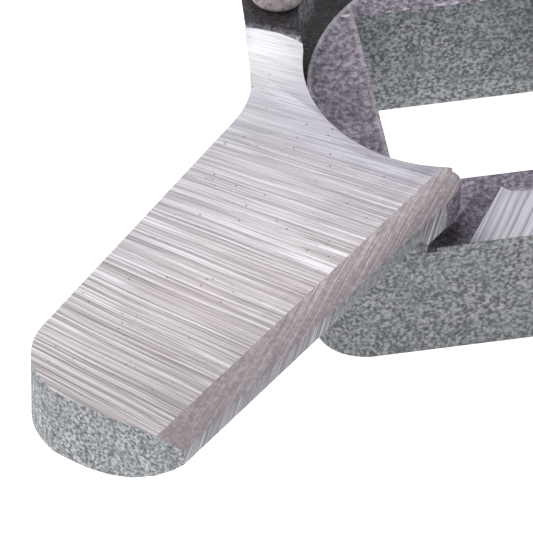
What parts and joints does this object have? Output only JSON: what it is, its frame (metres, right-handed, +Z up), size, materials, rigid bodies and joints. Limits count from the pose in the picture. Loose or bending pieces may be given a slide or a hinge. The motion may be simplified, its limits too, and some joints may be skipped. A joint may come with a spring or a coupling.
{
  "type": "bolt cutters",
  "caption": "Bolt cutters with ground paddle blades pinned to forged, windowed jaw frames, linked to tubular handles with rubber grips; shown with the jaws open.",
  "frame": {"origin": "under the middle of the whole tool as it lies flat with the jaws open", "axes": "+Z up from the surface it lies on, -X towards the blade tips, +X towards the grips"},
  "size_m": [0.3458, 0.3434, 0.0272],
  "materials": {
    "ground_steel": "ground, coarse parallel marks",
    "forged_steel": "forged and blasted, dark",
    "plated_steel": "zinc plated",
    "painted_tube": "semi-gloss paint",
    "grip_rubber": "matt, moulded ribs",
    "black_plastic": "fine grained"
  },
  "bodies": {
    "lower_jaw": {"lower_jaw_frame": "forged_steel", "lower_blade": "ground_steel", "lower_neck_pin": "ground_steel", "lower_blade_screw": "plated_steel", "lower_blade_dowel": "plated_steel", "main_pivot_bolt": "plated_steel", "main_pivot_washer": "plated_steel", "main_pivot_nut": "plated_steel", "lower_link_bolt": "plated_steel", "lower_link_washer": "plated_steel", "lower_link_nut": "plated_steel"},
    "upper_jaw": {"upper_jaw_frame": "forged_steel", "upper_blade": "ground_steel", "upper_neck_pin": "ground_steel", "upper_blade_screw": "plated_steel", "upper_blade_dowel": "plated_steel", "upper_link_bolt": "plated_steel", "upper_link_washer": "plated_steel", "upper_link_nut": "plated_steel"},
    "lower_handle": {"lower_handle_head": "forged_steel", "lower_handle_tube": "painted_tube", "lower_grip_collar": "black_plastic", "lower_grip": "grip_rubber", "lower_tube_plug": "black_plastic", "lower_tube_rivet_1": "plated_steel", "lower_tube_rivet_2": "plated_steel", "lower_stop_bolt": "plated_steel", "lower_stop_nut": "plated_steel", "centre_pivot_bolt": "plated_steel", "centre_pivot_washer": "plated_steel", "centre_pivot_nut": "plated_steel"},
    "upper_handle": {"upper_handle_head": "forged_steel", "upper_handle_tube": "painted_tube", "upper_grip_collar": "black_plastic", "upper_grip": "grip_rubber", "upper_tube_plug": "black_plastic", "upper_tube_rivet_1": "plated_steel", "upper_tube_rivet_2": "plated_steel", "upper_stop_bolt": "plated_steel", "upper_stop_nut": "plated_steel"}
  },
  "joints": [
    {"name": "jaw_pivot", "type": "hinge", "parent": "lower_jaw", "child": "upper_jaw", "pos_m": [-0.11458, 0, 0.0121], "axis": [0, 0, -1], "range_deg": [0, 34]},
    {"name": "lower_handle_pivot", "type": "hinge", "parent": "lower_jaw", "child": "lower_handle", "pos_m": [-0.09015, 0.00889, 0.0121], "axis": [0, 0, -1], "range_deg": [0, 46.6]},
    {"name": "upper_handle_pivot", "type": "hinge", "parent": "upper_jaw", "child": "upper_handle", "pos_m": [-0.09015, -0.00889, 0.0121], "axis": [0, 0, 1], "range_deg": [0, 46.6]}
  ],
  "couplings": [
    {"joint": "lower_handle_pivot", "follows": "jaw_pivot", "ratio": 1.37},
    {"joint": "upper_handle_pivot", "follows": "jaw_pivot", "ratio": 1.37}
  ]
}
